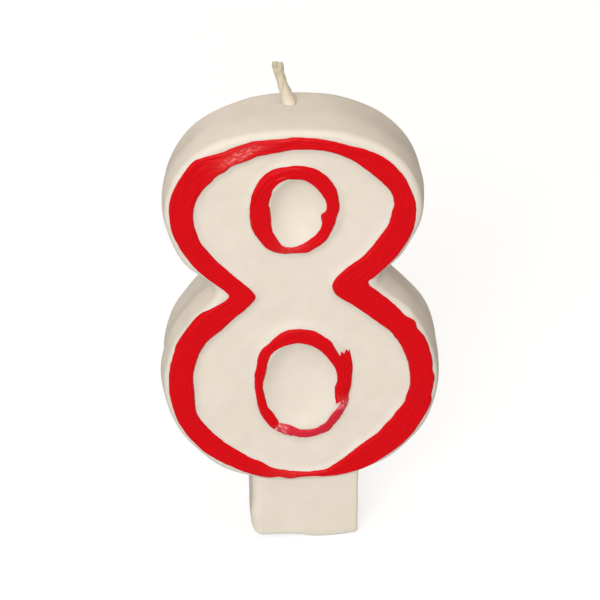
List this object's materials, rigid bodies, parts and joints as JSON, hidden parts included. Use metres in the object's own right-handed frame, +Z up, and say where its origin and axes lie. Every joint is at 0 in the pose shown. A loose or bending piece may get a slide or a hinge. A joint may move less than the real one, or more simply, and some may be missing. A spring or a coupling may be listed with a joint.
{
  "type": "number birthday candle",
  "caption": "Cast wax birthday candle in the shape of the figure 8, with brushed red outlines, a waxed cotton wick and a flat tab that pushes into a cake.",
  "frame": {"origin": "centre of the tab's flat lower end, on the plane where the two mould halves met and the wick lies", "axes": "+Z up along the figure to the wick, -Y out of the painted front, +X to the right seen from the front"},
  "size_m": [0.0476, 0.0157, 0.0896],
  "materials": {
    "candle_wax": "satin cream-white wax",
    "red_paint": "opaque red wax paint, soft gloss",
    "thin_red_paint": "red wax paint brushed thin, the wax shows through",
    "cotton": "undyed twisted cotton",
    "wick_wax": "thin clouded wax over cotton"
  },
  "bodies": {
    "root": {"wax_body": "candle_wax", "outline_band": "red_paint", "upper_counter_ring": "red_paint", "lower_counter_main_stroke": "red_paint", "lower_counter_side_stroke": "red_paint", "lower_counter_bottom_stroke": "thin_red_paint", "wick_ply_1": "cotton", "wick_ply_2": "cotton", "wick_ply_3": "cotton", "wick_wax_coat": "wick_wax"}
  },
  "joints": []
}
